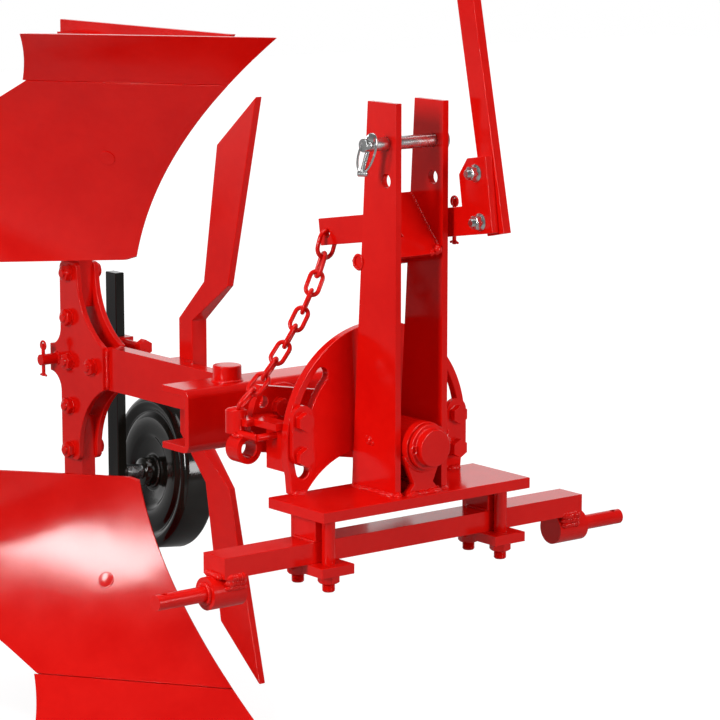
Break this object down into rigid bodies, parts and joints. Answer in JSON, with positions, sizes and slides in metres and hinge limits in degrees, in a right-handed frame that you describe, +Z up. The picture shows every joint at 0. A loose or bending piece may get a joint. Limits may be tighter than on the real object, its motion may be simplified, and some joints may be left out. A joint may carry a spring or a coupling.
{
  "type": "single-furrow reversible mouldboard plough",
  "caption": "Mounted reversible mouldboard plough: three-point headstock, turnover shaft with hand lever, mirror-image bodies, knife coulters and a depth wheel.",
  "frame": {"origin": "midpoint of the axis of the two lower hitch pins", "axes": "+X the direction of travel, +Y the plough's left along the hitch pins, +Z up"},
  "size_m": [1.1635, 0.847, 1.5589],
  "materials": {
    "red_paint": "gloss",
    "black_paint": "gloss",
    "zinc_plate": "satin",
    "grip_rubber": "matte"
  },
  "bodies": {
    "headstock": {"hitch_pin_right": "red_paint", "hitch_pin_left": "red_paint", "cross_bar": "red_paint", "base_plate": "red_paint", "clamp_spacers": "red_paint", "clamp_plates": "red_paint", "clamp_bolts": "red_paint", "upright_right": "red_paint", "upright_left": "red_paint", "brace_plate": "red_paint", "arm_rest_bar": "red_paint", "rocker_bush": "red_paint", "top_link_pin": "zinc_plate", "shaft_sleeve": "red_paint", "sleeve_pedestal": "red_paint", "quadrant_plate": "red_paint", "stop_pad_right": "red_paint", "stop_pad_left": "red_paint", "latch_chain": "red_paint", "latch": "red_paint", "latch_eye": "red_paint"},
    "lever": {"rocker_shaft": "red_paint", "rocker_arm": "red_paint", "lever_bracket": "red_paint", "hand_lever": "red_paint", "lever_grip": "grip_rubber", "lever_bolts": "zinc_plate"},
    "turnover": {"turnover_shaft": "red_paint", "index_plate": "red_paint", "index_bolts": "red_paint", "hub_tube": "red_paint", "channel_beam": "red_paint", "channel_boss": "red_paint", "plough_beam": "red_paint", "frog_plate_right": "red_paint", "frog_plate_left": "red_paint", "frog_bolts": "red_paint", "rear_pin": "red_paint", "mouldboard_lower": "red_paint", "mouldboard_upper": "red_paint", "share_lower": "red_paint", "share_upper": "red_paint", "leg_lower": "red_paint", "leg_upper": "red_paint", "landside_lower": "red_paint", "landside_upper": "red_paint", "coulter_lower": "red_paint", "coulter_upper": "red_paint", "coulter_bracket": "red_paint", "wheel_post": "black_paint", "post_socket": "red_paint", "wheel_axle": "zinc_plate"},
    "wheel": {"wheel": "black_paint"}
  },
  "joints": [
    {"name": "turnover", "type": "hinge", "parent": "headstock", "child": "turnover", "pos_m": [0, 0, 0.171], "axis": [1, 0, 0], "range_deg": [0, 180]},
    {"name": "hand_lever", "type": "hinge", "parent": "headstock", "child": "lever", "pos_m": [-0.012, 0, 0.474], "axis": [0, 1, 0], "range_deg": [-15, 30], "deforming": ["latch_chain"]},
    {"name": "depth_wheel", "type": "hinge", "parent": "turnover", "child": "wheel", "pos_m": [-0.82817, 0.124, -0.031], "axis": [0.1041, 0.9907, -0.0872], "continuous": true}
  ]
}
